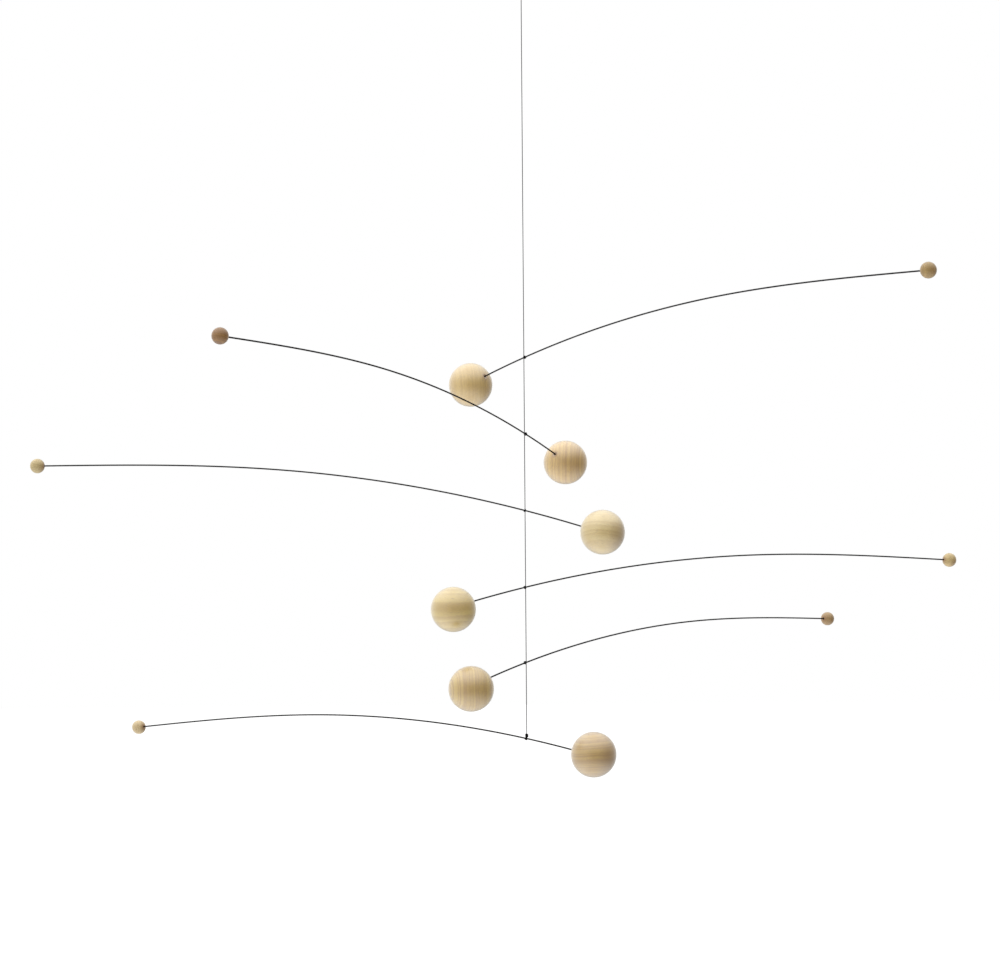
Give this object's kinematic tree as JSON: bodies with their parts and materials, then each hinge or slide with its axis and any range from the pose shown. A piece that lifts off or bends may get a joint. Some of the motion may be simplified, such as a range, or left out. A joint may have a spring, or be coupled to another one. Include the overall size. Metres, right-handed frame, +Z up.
{
  "type": "hanging mobile",
  "caption": "Hanging mobile of bowed steel wire arms, one under the other on a single thread, each balanced between a large and a small wooden ball.",
  "frame": {"origin": "inside the top of the thread's loop, where a hook bears", "axes": "+Z up along the thread, +X to the right and +Y away from a viewer who sees it as pictured"},
  "size_m": [0.6497, 0.5367, 0.546],
  "materials": {
    "wood": "satin",
    "wire": "satin",
    "thread": "matte"
  },
  "bodies": {
    "line": {"thread": "thread"},
    "tie_1": {"hitch_1": "thread"},
    "arm_1": {"wire_1": "wire", "ball_1": "wood", "bead_1": "wood"},
    "tie_2": {"hitch_2": "thread"},
    "arm_2": {"wire_2": "wire", "ball_2": "wood", "bead_2": "wood"},
    "tie_3": {"hitch_3": "thread"},
    "arm_3": {"wire_3": "wire", "ball_3": "wood", "bead_3": "wood"},
    "tie_4": {"hitch_4": "thread"},
    "arm_4": {"wire_4": "wire", "ball_4": "wood", "bead_4": "wood"},
    "tie_5": {"hitch_5": "thread"},
    "arm_5": {"wire_5": "wire", "ball_5": "wood", "bead_5": "wood"},
    "tie_6": {"hitch_6": "thread"},
    "arm_6": {"wire_6": "wire", "ball_6": "wood", "bead_6": "wood"}
  },
  "joints": [
    {"name": "turn_1", "type": "hinge", "parent": "line", "child": "tie_1", "pos_m": [0, 0, -0.264], "axis": [0, 0, 1], "continuous": true},
    {"name": "rock_1", "type": "hinge", "parent": "tie_1", "child": "arm_1", "pos_m": [0.0006, 0.0006, -0.264], "axis": [-0.7071, -0.7071, 0], "range_deg": [-5, 5]},
    {"name": "turn_2", "type": "hinge", "parent": "line", "child": "tie_2", "pos_m": [0, 0, -0.3161], "axis": [0, 0, 1], "continuous": true},
    {"name": "rock_2", "type": "hinge", "parent": "tie_2", "child": "arm_2", "pos_m": [0.00072, -0.00045, -0.3161], "axis": [-0.8471, 0.5314, 0], "range_deg": [-5, 5]},
    {"name": "turn_3", "type": "hinge", "parent": "line", "child": "tie_3", "pos_m": [0, 0, -0.3677], "axis": [0, 0, 1], "continuous": true},
    {"name": "rock_3", "type": "hinge", "parent": "tie_3", "child": "arm_3", "pos_m": [-0.00008, -0.00085, -0.3677], "axis": [0.0941, 0.9956, 0], "range_deg": [-5, 5]},
    {"name": "turn_4", "type": "hinge", "parent": "line", "child": "tie_4", "pos_m": [0, 0, -0.4193], "axis": [0, 0, 1], "continuous": true},
    {"name": "rock_4", "type": "hinge", "parent": "tie_4", "child": "arm_4", "pos_m": [-0.00035, 0.00078, -0.4193], "axis": [0.4067, -0.9135, 0], "range_deg": [-5, 5]},
    {"name": "turn_5", "type": "hinge", "parent": "line", "child": "tie_5", "pos_m": [0, 0, -0.4699], "axis": [0, 0, 1], "continuous": true},
    {"name": "rock_5", "type": "hinge", "parent": "tie_5", "child": "arm_5", "pos_m": [-0.00062, 0.00059, -0.4699], "axis": [0.7242, -0.6896, 0], "range_deg": [-5, 5]},
    {"name": "turn_6", "type": "hinge", "parent": "line", "child": "tie_6", "pos_m": [0, 0, -0.5204], "axis": [0, 0, 1], "continuous": true},
    {"name": "rock_6", "type": "hinge", "parent": "tie_6", "child": "arm_6", "pos_m": [-0.00046, -0.00071, -0.5204], "axis": [0.5446, 0.8387, 0], "range_deg": [-5, 5]}
  ]
}
